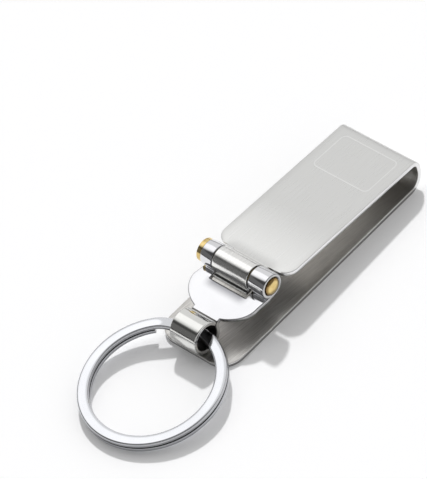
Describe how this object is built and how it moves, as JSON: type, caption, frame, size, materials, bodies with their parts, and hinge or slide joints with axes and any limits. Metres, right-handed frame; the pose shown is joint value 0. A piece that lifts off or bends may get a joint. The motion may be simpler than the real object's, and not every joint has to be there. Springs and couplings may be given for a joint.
{
  "type": "belt key clip",
  "caption": "Folded sprung steel belt clip with a hinged plate, held by a domed pin, whose rolled loop carries a flat split key ring.",
  "frame": {"origin": "middle of the flat outer face of the back leaf, the face that rests on the floor", "axes": "+X along the hinge pin, +Y towards the bend of the clip, +Z from the back leaf towards the front leaf"},
  "size_m": [0.031, 0.0873, 0.0126],
  "materials": {
    "strip_steel": "satin, finely brushed along its length",
    "keeper_steel": "satin",
    "plate_steel": "mirror polished",
    "pin_brass": "polished",
    "ring_steel": "polished"
  },
  "bodies": {
    "clip": {"clip_body": "strip_steel", "knuckle_keeper": "keeper_steel"},
    "hinged_plate": {"hinge_plate": "plate_steel", "hinge_pin": "pin_brass"},
    "ring": {"split_ring": "ring_steel"}
  },
  "joints": [
    {"name": "hinge_swing", "type": "hinge", "parent": "clip", "child": "hinged_plate", "pos_m": [0, -0.0111, 0.00974], "axis": [-1, 0, 0], "range_deg": [0, 120]},
    {"name": "ring_swing", "type": "hinge", "parent": "hinged_plate", "child": "ring", "pos_m": [0, -0.02577, 0.00473], "axis": [-1, 0, 0], "range_deg": [-25, 95]}
  ]
}
